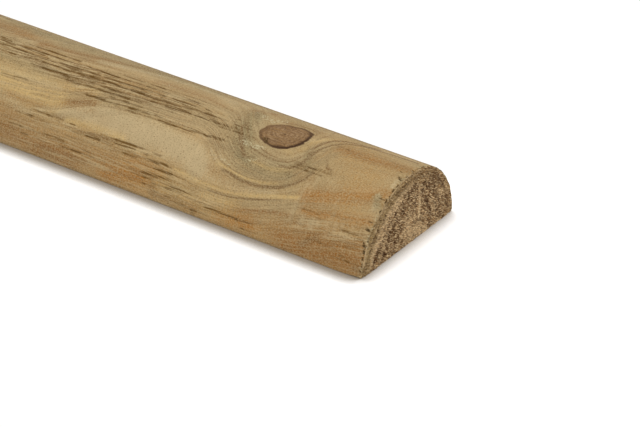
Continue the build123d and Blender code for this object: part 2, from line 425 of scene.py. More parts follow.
END_DARK = (
    (3, 0.35, -12, 40, 8, 42, 22, 38), (1.8, 1, -28.4, 14, -30.5, 10.5, -32, 8),
    (1.5, 0.95, -34.2, 7, -32.4, 4.6), (1.7, 0.95, -26, 6, -25, 4), (1, 0.7, -38.6, 3.9, -37.4, 3.3),
    (0.9, 0.95, -19.6, 24, -18, 22.5), (0.9, 0.95, -14.6, 22.6, -12, 20.8),
    (1.3, 0.8, -14.8, 28.2, -14, 26.6), (0.7, 0.9, -7, 27.4, -4.5, 26.2), (2, 0.7, -4, 34.5, -1.5, 33),
    (1.2, 0.95, -1.6, 36.1, 0.2, 35.2), (1.8, 0.6, 2, 35, 9, 36.5), (2.8, 0.6, -21, 15.6, -17, 12.5),
    (0.8, 0.9, -20.6, 17.9, -18.8, 16.7), (1.2, 0.8, -11.6, 11.6, -10, 10.2), (1.3, 0.65, -8, 17, -7, 12),
    (2, 0.55, -14, 8, -8, 7), (1.2, 0.8, -16, 3.2, -15, 2.4), (1, 0.7, -33.6, 24.9, -33, 24.3),
    (0.8, 0.8, -36.5, 21.8, -34.8, 21), (0.9, 0.6, -41.2, 19.1, -40.4, 18.8),
    (0.8, 0.55, -40, 16, -39.8, 13), (0.7, 0.95, 7, 10.8, 9.3, 11.5, 13.6, 11),
    (1.4, 0.85, 12.6, 30.6, 15.4, 29.4), (3, 0.55, 17, 21.5, 21, 19), (1, 0.8, 8, 33.6, 8.8, 32.8),
    (1.1, 1, 29.8, 27, 31.6, 25.6), (1.1, 0.95, 41.8, 12.2, 43.6, 10.5), (0.9, 0.95, 45, 13.6, 46.2, 12.2),
    (2.5, 0.55, 39, 12, 42, 8), (1.1, 0.8, 46, 5.4, 47, 4), (0.9, 0.85, 23.2, 3.5, 24.2, 1.2, 27, 0.8),
    (1.2, 0.7, 37, 16, 38.6, 14), (1.2, 0.6, 34, 9, 37, 6.4), (2.4, 0.5, 26, 33, 32, 29.4),
    (3, 0.35, 20, 40, 28, 36.6), (2.6, 0.45, 36, 3, 43, 3), (0.9, 0.7, 22.5, 31, 26.4, 29.3),
    (0.8, 0.7, 24, 23, 28, 21.5), (0.8, 0.7, 25, 17, 29.4, 14.6), (1.2, 0.6, 21.6, 12.6, 25, 9.4),
    (1, 0.6, 15, 9.2, 18, 7.6), (1, 0.6, 27, 7.2, 31.6, 4), (0.9, 0.6, 31, 11.4, 33.4, 10),
    (0.8, 0.7, -26.2, 18.4, -25.4, 17.6), (0.9, 0.5, -6, 5.4, -3, 4.6), (0.8, 0.55, 13.4, 35, 17, 34.4),
    (1, 0.5, 36, 30.6, 38, 28.6),
)
END_RINGS = (
    (1.1, 0.55, -36, 2, -34.5, 7, -30, 13, -22, 21.5, -14, 28, -4, 34, 8, 36, 18, 34),
    (1.6, 0.6, -26.5, 2, -25, 7, -20, 14.5, -14, 21, -7, 26.6, 3, 29.4, 13, 29.6),
    (0.8, 0.3, -44.5, 3, -43, 10, -38, 20, -29, 31, -16, 40, 0, 44, 16, 42, 29, 35, 38, 24),
    (1.2, 0.5, -17, 3, -14, 9, -9, 15, -2, 20, 6, 23), (1.3, 0.85, 18, 31, 25, 27, 31, 20, 34, 12, 35, 3),
    (1.1, 0.85, 16, 23, 21, 18.6, 24, 12, 25, 4), (1.3, 0.85, 22, 37, 32, 30, 39, 21, 43, 12, 44, 3),
)

# The sapwood of the end: its width, how strong it is at the middle, and how it fades to the far side
END_KHAKI_WIDTH = 13
END_KHAKI_STRENGTH = 0.65
END_KHAKI_FADE = 70
END_KHAKI_LEAST = 0.2

# How much the pale and the dark marks of the end smooth and roughen it
END_PALE_ROUGHNESS = -0.6
END_DARK_ROUGHNESS = 1.0

# The fibres that the saw raised on the ends: none within a margin of the round back
FIBRE_MARGIN = 3.5
FIBRE_FADE = 8
FIBRE_SWING = radians(18)
FIBRE_TILT = radians(10)
FIBRE_SPREAD = ((1.0, 0.55, 0.7), (1.0, 1.3, 1.3))
FIBRE_SEED = 7
FIBRE_SIZE_SEED = 2
FIBRE_TONE_SEED = 3

# Patterns in the wood: the size of a cell on each axis in millimetres, the levels of the noise that are
# cut to 0 and to 1, its detail and its seed
PATTERNS = {
    # bands along the grain, as wide as a few rings
    "patches": ((120, 18, 18), 0.46, 0.66, 2, 15),
    "sway": ((90, 26, 26), 0.3, 0.7, 2, 20),
    "streaks": ((45, 2.4, 2.4), 0.3, 0.7, 3, 6),
    "fine_grain": ((55, 2.2, 2.2), 0.46, 0.62, 3, 25),
    "clouds": ((90, 13, 13), 0.35, 0.65, 3, 9),
    "warmth": ((150, 20, 20), 0.4, 0.65, 3, 10),
    "wander": ((300, 40, 40), 0.0, 1.0, 2, 5),
    # fibres, really tenths of a millimetre thick: too fine to show, so drawn about a millimetre thick
    "dark_fibres": ((36, 1.2, 1.2), 0.52, 0.58, 3, 7),
    "pale_fibres": ((30, 1.2, 1.2), 0.52, 0.58, 3, 17),
    "gaps": ((14, 0.6, 0.6), 0.36, 0.6, 3, 19),
    # smudges, scratches and the light cross ticks of the cutter
    "blotches": ((9, 4, 4), 0.35, 0.68, 3, 11),
    "scratched": ((12, 0.8, 0.8), 0.48, 0.62, 2, 21),
    "ticks": ((1.5, 9, 9), 0.35, 0.65, 2, 2),
    # pores, dust, crumbs and chips, really 0.1 to 0.5 mm: too fine to show, so drawn a pixel or two coarse
    "sand": ((1.3, 0.75, 0.75), 0.44, 0.58, 2, 8),
    "grit": ((1.1, 0.7, 0.7), 0.55, 0.66, 2, 18),
    "crumbs": ((1.4, 1.1, 1.1), 0.42, 0.6, 2, 23),
    "chips": ((2.6, 1.6, 1.6), 0.46, 0.56, 2, 24),
    # the ragged rims, the saw's lines on the flat face and its combing of the ends
    "ragged": ((1.6, 1.6, 1.6), 0.42, 0.66, 2, 3),
    "saw_lines": ((1.7, 70, 70), 0.35, 0.65, 1, 16),
    "fuzz": ((9, 3.0, 1.1), 0.3, 0.72, 3, 4),
    # rings and stains of the ends
    "bands": ((9, 9, 1.5), 0.44, 0.6, 2, 22),
    "end_clouds": ((40, 9, 5), 0.35, 0.65, 3, 14),
    # wool and pits of the ends, really about 0.2 mm across: too fine to show, so drawn near a millimetre
    "wool": ((9, 3.2, 0.8), 0.5, 0.57, 2, 12),
    "pits": ((9, 2.4, 0.9), 0.53, 0.59, 2, 13),
}

# Those that the wood of the back shows: along its grain, and straight along the post
GRAIN_PATTERNS = (
    "patches", "streaks", "dark_fibres", "pale_fibres", "clouds", "warmth", "fine_grain", "gaps",
)
BACK_PATTERNS = ("sand", "grit", "blotches", "ticks", "crumbs", "chips", "scratched")

# Where the smooth edge of a mark starts and ends, in the numbers that the mark is drawn from
LEVELS = {
    "far_wood": (270 * MM, 330 * MM),
    "ring_darkens": (0.35, 0.9),
    "ring_ends": (1.0, 0.92),
    "torn_row": (0.96, 1.12),
    "knot": (1.07, 0.99),
    "knot_depth": (0.35, 1.0),
    "knot_pith": (1.5 * PITH_DOT / KNOT_RADIUS, 0.4 * PITH_DOT / KNOT_RADIUS),
    "bark": (1.9 * BARK_WIDTH / KNOT_RADIUS, 0.2 * BARK_WIDTH / KNOT_RADIUS),
    "raised": (0.2, 0.9),
    "sunk": (-0.1, -0.8),
}

# Amounts that follow a mark or a pattern: which one, and the amount where that is 0 and where it is 1
PINE_AMOUNTS = {
    "ring_strength": ("far_wood", 0.25, 0.8), "streaky": ("streaks", 0.6, 1.2),
    "combing": ("torn", 0.2, 1.35), "speckling": ("green_wood", 0.6, 1.0), "frayed": ("blotches", 0.7, 1.2),
    "gappy": ("gaps", 0.4, 1.2), "crumbly": ("crumbs", 0.5, 1.3), "speckled": ("sand", 0.75, 1.15),
    "swing": ("far_wood", 0.07, 0.22), "bark_strength": ("knot_dark_side", 0.2, 1.1),
}
END_AMOUNTS = {
    "inner": ("end_khaki", 1.0, 0.3), "pitted": ("end_clouds", 1.15, 0.5), "unlit": ("end_pale", 1.0, -0.6),
}

# Marks whose edges are broken up: the amount that does it, and the levels that are cut to 0 and to 1
BROKEN_MARKS = {
    "torn_dash": ("gappy", 0.2, 0.85), "pit": ("crumbly", 0.2, 0.7), "fleck": ("crumbs", 0.35, 0.6),
    "ring_line": ("streaky", 0.12, 0.75), "pale_wood": ("speckled", 0.2, 0.7),
}

# The colours that lie over one another, from the bottom up: each is as thick as the product of what
# follows it. On the back: stains and painted shade, rings and bands, then fibres and dust, torn grain,
# knots and chips, with painted shade in the pits and a painted highlight on the rims
PINE_LAYERS = (
    ("warm", "warmth", 0.5), ("green", "clouds", 0.45), ("sawn", "sawn_flat", 0.55),
    ("late", "sawn_flat", "saw_lines", 0.4), ("late", "rings", "ring_strength"),
    ("warm", "warm_wood", "frayed", 0.9), ("brown", "brown_wood", "streaky"),
    ("orange", "orange_wood", "streaky"), ("pale", "pale_wood", 0.8), ("green_dark", "green_wood", "frayed"),
    ("grey", "green_wood", "blotches", "speckling", 0.65), ("yellow", "yellow_wood", "streaky", 0.9),
    ("grey", "grey_wood", "frayed", 0.9), ("ring_line", "ring_line", 0.85),
    ("late", "fine_grain", 0.32), ("ring_line", "dark_fibres", "combing", 0.7),
    ("fibre", "pale_fibres", "combing", 0.78), ("fibre", "sand", 0.36), ("ring_line", "grit", "speckling"),
    ("green", "ticks", 0.2), ("pale", "cutter_mark", "streaky", 0.55),
    ("torn", "rows", 0.7), ("torn", "torn_dash", 0.9),
    ("knot", "in_knot"), ("knot_ring", "in_knot", "knot_depth", 0.5),
    ("knot_ring", "in_knot", "knot_rings", 0.8), ("knot_ring", "in_knot", "blotches", 0.45),
    ("bark", "in_knot", "grit", 0.9),
    ("late", "in_knot", "sand", 0.35), ("late", "in_knot", "scratched", 0.55),
    ("bark", "in_knot", "knot_pith", 0.7), ("bark", "bark", "bark_strength", 0.95),
    # The flecks along the rims of the ends make a pale crest on the edge: partly crushed wood, partly a
    # painted highlight
    ("fleck", "fleck", 0.65), ("fleck", "rim", "chips", 0.9), ("torn", "rim", "crumbs", 0.7),
    ("pit", "pit", 0.9),
)

# On the ends: sapwood and rings, then wool and pits, the marks of the near end, and the raised fibres
END_LAYERS = (
    ("end_light", "end_clouds", 0.28), ("end_khaki", "end_khaki", 0.9), ("end_dark", "rings", "inner", 0.25),
    ("end_dark", "bands", 0.42), ("end_light", "wool", "inner", 0.85),
    ("end_dark", "pits", "inner", "pitted", 0.88), ("end_light", "end_pale", 0.75),
    ("end_dark", "end_ring", "pitted", 0.8), ("end_dark", "end_dark", 0.65), ("end_light", "raised", 0.85),
    ("end_dark", "sunk", "unlit", 0.75),
)

# How high each mark of the finest relief stands, as a share of the bump's depth
PINE_RELIEF = (
    ("rows", -1.0), ("torn_dash", -1.0), ("dark_fibres", -0.4), ("pale_fibres", 0.4), ("sand", 0.35),
    ("ticks", 0.15), ("bark", -0.6),
)
END_RELIEF = (("wool", 1.0), ("pits", -1.0), ("end_dark", -0.8))

# How dull the wood is, and how deep its finest relief looks
BACK_ROUGHNESS = 0.8
END_ROUGHNESS = 0.9
WOOD_GLOSS = 0.15
BACK_BUMP = 0.3 * MM
END_BUMP = 0.5 * MM
BUMP_STRENGTH = 0.9


def linear(code):
    """The linear colour that Blender works in, from an sRGB hex code."""
    channels = [int(code[i : i + 2], 16) / 255 for i in (1, 3, 5)]
    return [c / 12.92 if c <= 0.04045 else ((c + 0.055) / 1.055) ** 2.4 for c in channels] + [1.0]


def add(tree, kind, *given, output=0, **settings):
    """Adds a node, sets it and fills its inputs, in order or by name, and returns one output."""
    kind, own_settings = kind if isinstance(kind, tuple) else (kind, {})
    node = tree.nodes.new(kind)
    for name, value in {**own_settings, **settings}.items():
        setattr(node, name, value)
    inputs = given[0] if given and isinstance(given[0], dict) else dict(enumerate(given))
    for name, value in inputs.items():
        if isinstance(value, bpy.types.NodeSocket):
            tree.links.new(value, node.inputs[name])
        else:
            node.inputs[name].default_value = value
    return node.outputs[output]


def pattern(tree, place, name):
    """One of the patterns in the wood, from 0 to 1."""
    cell, low, high, detail, seed = PATTERNS[name]
    stretched = add(tree, VECTOR_MULTIPLY, place, [1 / (c * MM) for c in cell])
    settings = {"Vector": stretched, "W": seed, "Scale": 1.0, "Detail": detail}
    value = add(tree, NOISE, settings, noise_dimensions="4D")
    return add(tree, SMOOTH_RANGE, value, low, high)


def torn_rows(tree, grain, torn):
    """Rows of dark dashes along the grain, one row to a ring, which grow as torn goes from 0 to 1."""
    sway = pattern(tree, grain, "sway")
    parts = add(tree, SEPARATE, grain).node.outputs
    number = add(tree, MULTIPLY_ADD, parts["Y"], 1 / TORN_ROW_PITCH, sway)
    row = add(tree, MATH, number, operation="FLOOR")
    off_edge = add(tree, PINGPONG, number, 0.5)
    along = add(tree, MULTIPLY, parts["X"], 1 / TORN_ROW_CELL)
    between = add(tree, MULTIPLY, row, TORN_ROW_STEP)
    spot = add(tree, COMBINE, {"X": along, "Y": between, "Z": number})
    dashes = add(tree, NOISE, {"Vector": spot, "Scale": 1.0, "Detail": 3.0})
    score = add(tree, MULTIPLY_ADD, off_edge, TORN_BY_ROW, dashes)
    score = add(tree, MULTIPLY_ADD, torn, TORN_BY_WOOD, score)
    return add(tree, SMOOTH_RANGE, score, *LEVELS["torn_row"])


# Sizes and colours that a user would change


def size(name, description, default):
    """A length that a user can change."""
    return bpy.props.FloatProperty(name=name, description=description, default=default, unit="LENGTH")


def tint(name, description, code):
    """A colour that a user can change."""
    return bpy.props.FloatVectorProperty(
        name=name, description=description, default=linear(code), size=4, subtype="COLOR"
    )


class PostSizes(bpy.types.PropertyGroup):
    """Sizes of the post and of the marks that the saws left on it"""

    length: size("Length", "Length of the post", POST_LENGTH)
    pole_diameter: size("Pole diameter", "Diameter of the milled pole", 2 * POLE_RADIUS)
    saw_kerf: size("Saw kerf", "Wood lost along the middle of the pole", SAW_KERF)
    edge_radius: size("Edge radius", "Roundness of the two long edges", 1.7 * MM)
    torn_depth: size("Torn grain depth", "Depth of the torn grain", 0.4 * MM)
    cutter_depth: size("Cutter mark depth", "Depth of the cutter's cross marks", 0.15 * MM)
    pit_depth: size("Pit depth", "Depth of the pits and chips", 1.0 * MM)
    rim_depth: size("Rim depth", "Depth of the ragged rims of the ends", 0.7 * MM)
    end_depth: size("End roughness", "Depth of the rough sawn ends", 0.9 * MM)
    saw_depth: size("Saw mark depth", "Depth of the saw marks on the flat face", 0.15 * MM)
    fibre_length: size("Fibre length", "Length of the raised fibres on the sawn ends", 3.8 * MM)
    fibre_width: size("Fibre width", "Width of the raised fibres on the sawn ends", 0.6 * MM)
    fibres: bpy.props.FloatProperty(
        name="Fibres", description="Raised fibres to a square millimetre", default=0.5
    )
    wear: bpy.props.FloatProperty(
        name="Wear", description="Wear of the near end's front corner", default=1.0
    )


class WoodColours(bpy.types.PropertyGroup):
    """Colours of the treated pine"""

    early: tint("Early wood", "Plain wood between the rings", "#BA9F73")
    late: tint("Late wood", "Brown lines of the rings", "#987548")
    warm: tint("Warm wood", "Yellow brown wood", "#B48A4F")
    green: tint("Green tint", "Tint of the preservative", "#9C8C67")
    # Laid by the green strokes, so along the top of the back it is partly painted shade
    green_dark: tint("Green shade", "Darker green round the knot", "#897D58")
    brown: tint("Brown bands", "Brown bands that follow the grain", "#845420")
    orange: tint("Resinous wood", "Orange brown, resinous wood", "#A46B24")
    ring_line: tint("Ring lines", "Thin dark lines of the rings round the knot", "#6E4F2B")
    pale: tint("Pale wood", "Pale wood that the cutter left clean", "#C4AE85")
    yellow: tint("Yellow wood", "Yellow lines that follow the grain", "#D3B071")
    # Laid by the grey smudges, and also as painted shade along the top, the far side and the bottom edge of
    # the back
    grey: tint("Grey wood", "Grey brown smudges", "#7A6141")
    torn: tint("Torn grain", "Dark lines of torn grain", "#62430F")
    fibre: tint("Raised fibres", "Pale raised fibres beside the torn grain", "#CDB588")
    # Also laid along the rims of the ends, partly as a painted highlight on the edge
    fleck: tint("Flecks", "Pale flecks of crushed wood", "#CBBF98")
    # Partly the torn wood's own brown, partly painted shade in the pits
    pit: tint("Pits", "Dark pits and chips", "#4E3B1E")
    knot: tint("Knot", "Wood of the branch", "#B2936D")
    knot_ring: tint("Knot rings", "Rings of the branch", "#624429")
    bark: tint("Bark line", "Dark line round the branch", "#3C2512")
    sawn: tint("Sawn face", "Wood of the flat sawn face", "#B99F74")
    end_wood: tint("End wood", "Brown of the sawn ends", "#98744A")
    end_khaki: tint("End sapwood", "Grey brown sapwood of the sawn ends", "#9B8155")
    end_light: tint("End fibres", "Pale fibres on the sawn ends", "#DDBE90")
    end_dark: tint("End pits", "Dark pits in the sawn ends", "#48290B")


# Shape


def put(name, data):
    """A new object in the scene."""
    thing = bpy.data.objects.new(name, data)
    bpy.context.scene.collection.objects.link(thing)
    return thing


def start_tree(name, inputs):
    """A Geometry Nodes tree with these named inputs: returns it and the sockets of its input node."""
    tree = bpy.data.node_groups.new(name, "GeometryNodeTree")
    tree.interface.new_socket("Geometry", in_out="INPUT", socket_type="NodeSocketGeometry")
    for label, kind in inputs.items():
        tree.interface.new_socket(label, in_out="INPUT", socket_type="NodeSocket" + kind)
    tree.interface.new_socket("Geometry", in_out="OUTPUT", socket_type="NodeSocketGeometry")
    return tree, tree.nodes.new("NodeGroupInput").outputs


def end_tree(tree, geometry, material):
    """Ends a tree in Realize Instances and Set Material."""
    real = add(tree, "GeometryNodeRealizeInstances", {"Geometry": geometry})
    painted = add(tree, "GeometryNodeSetMaterial", {"Geometry": real, "Material": material})
    tree.links.new(painted, tree.nodes.new("NodeGroupOutput").inputs[0])


def grow(tree, base, values, name):
    """Runs a tree on an object and keeps the result as a plain mesh at the origin."""
    modifier = base.modifiers.new(tree.name, "NODES")
    modifier.node_group = tree
    sockets = {s.name: s.identifier for s in tree.interface.items_tree if s.in_out == "INPUT"}
    for label, value in values.items():
        modifier[sockets[label]] = value
    evaluated = base.evaluated_get(bpy.context.evaluated_depsgraph_get())
    mesh = bpy.data.meshes.new_from_object(evaluated)
    base.modifiers.remove(modifier)
    mesh.name = name
    return put(name, mesh)


def keep_inside(tree, geometry, given):
    """Draws back whatever would stand out of the box of the CAD part."""
    place = add(tree, "GeometryNodeInputPosition")
    for label, operation in (("Low", "MAXIMUM"), ("High", "MINIMUM")):
        place = add(tree, VECTOR_MATH, place, given[label], operation=operation)
    return add(tree, SET_POSITION, {"Geometry": geometry, "Position": place})


def post_box(sizes):
    """The lowest and the highest corner that the post may reach, as inputs of a tree."""
    radius = sizes.pole_diameter / 2
    half = Vector((sizes.length / 2, radius - EDGE_LOSS, 0))
    return {"Low": -half, "High": half + Vector((0, 0, radius - sizes.saw_kerf / 2))}


def sweep_tree():
    """Sweeps the D-shaped section along a line, drawn in over each end to close it."""
    tree, given = start_tree(
        "Half-round sweep",
        {
            "Pole Diameter": "Float", "Saw Kerf": "Float", "Edge Radius": "Float", "Girth Lines": "Int",
            "Material": "Material",
        },
    )
    radius = add(tree, MULTIPLY, given["Pole Diameter"], 0.5)
    half_kerf = add(tree, MULTIPLY, given["Saw Kerf"], 0.5)
    share = add(tree, DIVIDE, half_kerf, radius)
    edge_angle = add(tree, MATH, share, operation="ARCSINE")
    start = add(tree, ADD, edge_angle, -pi)
    turn = add(tree, MULTIPLY_ADD, edge_angle, -2.0, pi)
    arc = add(
        tree,
        "GeometryNodeCurveArc",
        {"Resolution": ARC_POINTS, "Radius": radius, "Start Angle": start, "Sweep Angle": turn},
    )
    below = add(tree, ADD, half_kerf, SECTION_MIDDLE)
    shift = add(tree, COMBINE, {"Y": below})
    lowered = add(tree, "GeometryNodeTransform", {"Geometry": arc, "Translation": shift})
    closed = add(tree, "GeometryNodeSetSplineCyclic", {"Geometry": lowered, "Cyclic": True})
    section = add(
        tree,
        "GeometryNodeFilletCurve",
        {"Curve": closed, "Count": EDGE_POINTS, "Radius": given["Edge Radius"], "Limit Radius": True},
        mode="POLY",
    )
    even = add(tree, "GeometryNodeResampleCurve", {"Curve": section, "Count": given["Girth Lines"]})
    spread = add(tree, "ShaderNodeFloatCurve", {"Value": add(tree, "GeometryNodeSplineParameter")})
    points = spread.node.mapping.curves[0].points
    for line_share, girth_share in GIRTH_SHARES:
        points.new(line_share, girth_share)
    for point in points:
        point.handle_type = "VECTOR"
    spread.node.mapping.update()
    place = add(
        tree,
        "GeometryNodeSampleCurve",
        {"Curves": section, "Factor": spread},
        output="Position",
        mode="FACTOR",
        use_all_curves=True,
    )
    profile = add(tree, SET_POSITION, {"Geometry": even, "Position": place})
    mesh = add(
        tree,
        "GeometryNodeCurveToMesh",
        {
            "Curve": given["Geometry"], "Profile Curve": profile,
            "Scale": add(tree, "GeometryNodeInputRadius"),
        },
    )
    closed_mesh = add(tree, "GeometryNodeMergeByDistance", {"Geometry": mesh, "Distance": POLE_TOLERANCE})
    end_tree(tree, closed_mesh, given["Material"])
    return tree


def sweep_line(sizes):
    """The places along the post where the section is drawn, and its scale at each."""
    half = sizes.length / 2
    near_scales = np.linspace(0, 1, NEAR_END_RINGS, endpoint=False)
    far_scales = np.linspace(1, 0, FAR_END_RINGS + 1)[1:]
    rim = np.arange(0, RIM_LENGTH, RIM_STEP)
    fine = []
    start = RIM_LENGTH
    for end, step in FINE_STEPS:
        fine.append(np.arange(start, end * MM, step * MM))
        start = end * MM
    shares = np.linspace(0, 1, COARSE_STEPS) ** COARSE_GROWTH
    coarse = start + shares * (sizes.length - RIM_LENGTH - start)
    far_rim = sizes.length - np.arange(RIM_LENGTH, 0, -2 * RIM_STEP)[1:]
    along = np.concatenate([rim, *fine, coarse, far_rim, [sizes.length]])
    inwards = RING_NUDGE * np.arange(FAR_END_RINGS, 0, -1) / FAR_END_RINGS
    x = np.concatenate([
        half - RING_NUDGE * np.arange(NEAR_END_RINGS) / NEAR_END_RINGS,
        half - along - RING_NUDGE * (along == 0) + 2 * RING_NUDGE * (along == sizes.length),
        -half + inwards,
    ])
    scale = np.concatenate([near_scales, np.ones(len(along)), far_scales])
    return x, scale


def sweep_rail(sizes):
    """The line as a curve, whose radius is the section's scale."""
    x, scale = sweep_line(sizes)
    curve = bpy.data.curves.new("post_line", "CURVE")
    curve.dimensions = "3D"
    spline = curve.splines.new("POLY")
    spline.points.add(len(x) - 1)
    points = np.stack([x, 0 * x, 0 * x + SECTION_MIDDLE, 0 * x + 1], -1)
    spline.points.foreach_set("co", points.ravel())
    spline.points.foreach_set("radius", scale)
    return put("post_line", curve)


# Marks, worked out on the points of the mesh


def line_distance(u, v, line):
    """How far each place lies from a line, given as the places it runs through, one after another."""
    nearest = np.full_like(u, np.inf)
    for u0, v0, u1, v1 in zip(line[::2], line[1::2], line[2::2], line[3::2]):
        du, dv = u1 - u0, v1 - v0
        share = np.clip(((u - u0) * du + (v - v0) * dv) / (du * du + dv * dv), 0, 1)
        nearest = np.minimum(nearest, np.hypot(u - u0 - share * du, v - v0 - share * dv))
    return nearest


def cover(u, v, strokes):
    """How strongly soft marks cover each place, from 0 to the strength of the strongest."""
    total = np.zeros_like(u)
    for width, strength, *line in strokes:
        total = np.maximum(total, strength * np.exp(-((line_distance(u, v, line) / width) ** 2)))
    return total


def torn_strokes():
    """The dashes of torn grain as soft marks: a dark one, and a longer and fainter one at the same place."""
    for start, end, girth, strength in TORN_DASHES:
        for tail, share in ((0, 1), (TORN_TAIL, TORN_TAIL_STRENGTH)):
            rise = TORN_SLOPE * ((start - end) / 2 + tail)
            yield TORN_HALF_WIDTH, strength * share, start + tail, girth - rise, end - tail, girth + rise


def grain_shift(along, girth):
    """How far the grain is pushed round the back by the near knot, in millimetres."""
    columns, rows = np.arange(GRID_LENGTH), np.arange(GRID_GIRTH)
    lines = np.array([np.interp(columns, *np.array(line).T) for line in GRAIN_LINES])
    levels = lines[:, -1:]
    grid = np.array([np.interp(rows, line, shift) for line, shift in zip(lines.T, (levels - lines).T)])
    reach = int(3 * GRAIN_BLUR)
    bell = np.exp(-0.5 * (np.arange(-reach, reach + 1) / GRAIN_BLUR) ** 2)
    for _ in range(2):
        padded = np.pad(grid, ((reach, reach), (0, 0)), mode="edge")
        grid = np.array([np.convolve(column, bell / bell.sum(), "valid") for column in padded.T])
    u = np.clip(along, 0, GRID_LENGTH - 1.001)
    v = np.clip(girth, 0, GRID_GIRTH - 1.001)
    i, j = u.astype(int), v.astype(int)
    u, v = u - i, v - j
    near = grid[i, j] * (1 - v) + grid[i, j + 1] * v
    return near * (1 - u) + (grid[i + 1, j] * (1 - v) + grid[i + 1, j + 1] * v) * u


def knot_share(u, v):
    """How far each place lies from the near knot's middle, where 1 is its outline, and its turn."""
    corners = np.array(KNOT_OUTLINE) - KNOT_MIDDLE
    angles = np.arctan2(corners[:, 1], corners[:, 0])
    order = np.argsort(angles)
    across, up = u - KNOT_MIDDLE[0], v - KNOT_MIDDLE[1]
    turn = np.arctan2(up, across)
    reach = np.interp(turn, angles[order], np.hypot(*corners.T)[order], period=2 * pi)
    return np.hypot(across, up) / reach, turn


def read(items, name, width=1, kind=np.float32):
    """The numbers of every point, corner or face of a mesh, as one array."""
    values = np.zeros(len(items) * width, kind)
    items.foreach_get(name, values)
    return values.reshape(-1, width) if width > 1 else values


def keep(mesh, name, values):
    """Writes numbers on the points of a mesh, for its relief and its material to read."""
    kind = "FLOAT_VECTOR" if values.ndim == 2 else "FLOAT"
    attribute = mesh.attributes.new(name, kind, "POINT")
    attribute.data.foreach_set("vector" if values.ndim == 2 else "value", values.astype(np.float32).ravel())


BACK_MARKS = {
    "warm_wood": WARM_WOOD, "brown_wood": BROWN_WOOD, "orange_wood": ORANGE_WOOD, "pale_wood": PALE_WOOD,
    "yellow_wood": YELLOW_WOOD, "green_wood": GREEN_WOOD_AND_SHADE, "grey_wood": GREY_WOOD_AND_SHADE, "ring_line": RING_LINES,
    "fleck": PALE_FLECKS, "cutter_mark": CUTTER_MARKS, "pit": PITS, "torn_area": TORN_AREAS,
    "torn_dash": tuple(torn_strokes()),
}
END_MARKS = {"end_pale": END_PALE, "end_dark": END_DARK, "end_ring": END_RINGS}


def map_marks(mesh, sizes):
    """Writes on each point how much of each mark it carries, and which way is inwards."""
    x, y, z = read(mesh.vertices, "co", 3).T.astype(float)
    half = sizes.length / 2
    radius = sizes.pole_diameter / 2
    height = z + sizes.saw_kerf / 2
    along = (half - x) / MM
    depth = (radius - np.hypot(y, height)) / MM
    skin = np.clip(1 - depth / BACK_SKIN, 0, 1) * (z > FLAT_SKIN)
    flat = (z <= FLAT_SKIN) & (np.abs(y) < radius - 2 * sizes.edge_radius)
    girth = np.where(flat, -(y + radius), radius * (np.arctan2(height, -y) - EDGE_ANGLE)) / MM
    for name, strokes in BACK_MARKS.items():
        keep(mesh, name, cover(along, girth, strokes) * skin)
    grain = girth + grain_shift(along, girth) * ~flat
    keep(mesh, "back_place", np.stack([along, girth, 0 * x], -1) * MM)
    keep(mesh, "grain_place", np.stack([along, grain, 0 * x], -1) * MM)
    share, turn = knot_share(along, girth)
    keep(mesh, "near_knot", share + NO_KNOT * (1 - skin))
    # The bark line grows darker towards the knot's dark side: painted shade in the crack there, over the
    # bark's own dark; the far knots get one even strength
    uneven = 0.5 + 0.5 * np.cos(turn - KNOT_DARK_SIDE)
    keep(mesh, "knot_dark_side", np.where(along < GRID_LENGTH, uneven * skin, FAR_KNOT_DARK))
    at_end = np.abs(np.abs(x) - half) < END_TOLERANCE
    near_end = at_end & (x > 0)
    for name, strokes in END_MARKS.items():
        keep(mesh, name, cover(y / MM, z / MM, strokes) * near_end)
    khaki = np.clip(END_KHAKI_STRENGTH - y / MM / END_KHAKI_FADE, END_KHAKI_LEAST, 1)
    keep(mesh, "end_khaki", np.clip(2 - 2 * depth / END_KHAKI_WIDTH, 0, 1) * khaki)
    keep(mesh, "fibre_bed", np.clip((depth - FIBRE_MARGIN) / FIBRE_FADE, 0, 1) * at_end)
    keep(mesh, "sawn_end", at_end * 1.0)
    keep(mesh, "sawn_flat", flat * 1.0)
    keep(mesh, "rim", np.exp(-np.minimum(along, sizes.length / MM - along) / RIM_FADE) * skin)
    reach = np.maximum(np.hypot(y, height), MM)
    inward = np.stack([0 * x, np.where(flat, 0, -y / reach), np.where(flat, 1, -height / reach)], -1)
    keep(mesh, "inward", inward)
    keep(mesh, "endward", np.stack([-np.sign(x) * at_end, 0 * x, 0 * x], -1))
    corner = np.exp(-((along / WORN_LENGTH) ** 2) - ((y + radius) ** 2 + z**2) / (WORN_GIRTH * MM) ** 2)
    keep(mesh, "worn", corner[:, None] * np.array(WORN_SHIFT) * MM)


